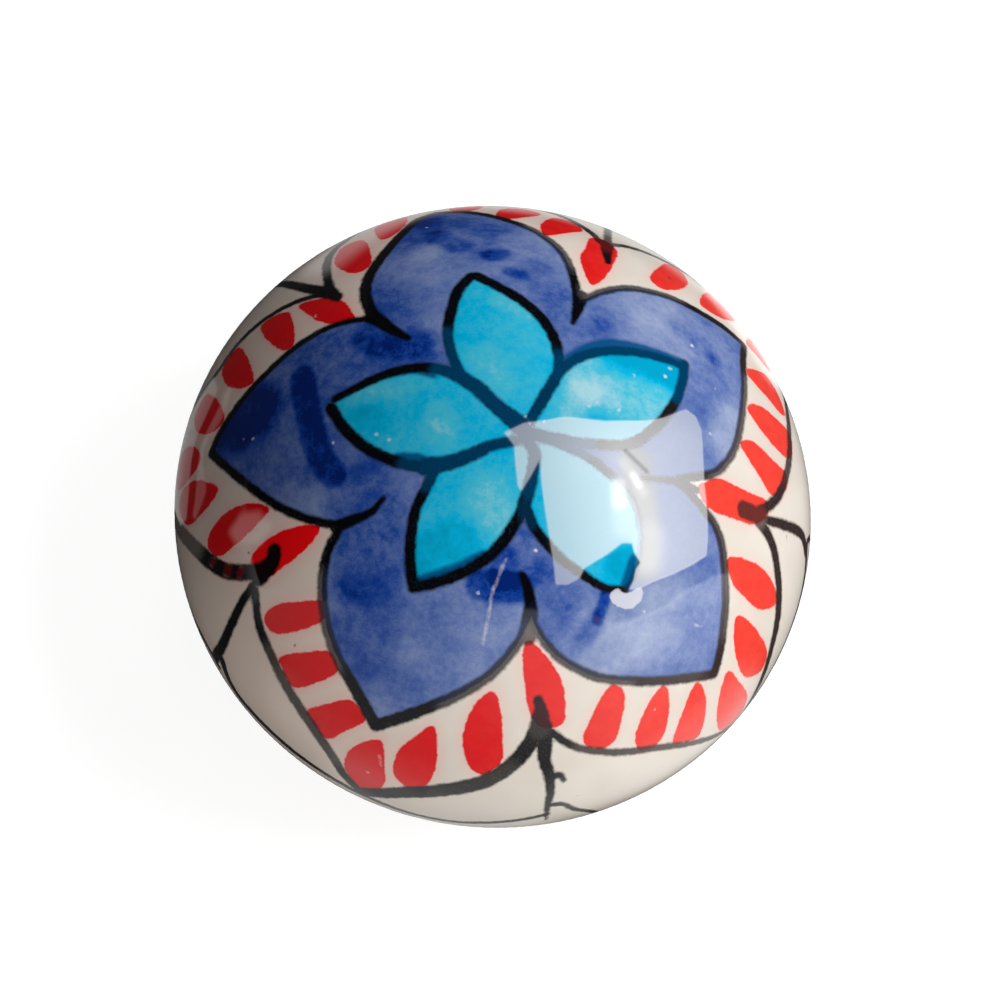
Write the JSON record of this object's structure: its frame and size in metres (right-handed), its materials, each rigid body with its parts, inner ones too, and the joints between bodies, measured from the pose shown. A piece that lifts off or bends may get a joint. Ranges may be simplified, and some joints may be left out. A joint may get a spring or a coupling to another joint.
{
  "type": "cabinet knob",
  "caption": "Round glazed ceramic cabinet knob with a hand-painted flower on its crown, a flat foot and a threaded brass insert for a screw from behind the door.",
  "frame": {"origin": "centre of the foot, the flat face that bears on the door or drawer front", "axes": "+Z along the knob's axis, away from the door and out through the crown; X and Y lie in the foot's face"},
  "size_m": [0.04, 0.04, 0.0286],
  "materials": {
    "glaze": "gloss",
    "insert_brass": "satin"
  },
  "bodies": {
    "root": {"knob_head": "glaze", "threaded_insert": "insert_brass"}
  },
  "joints": []
}
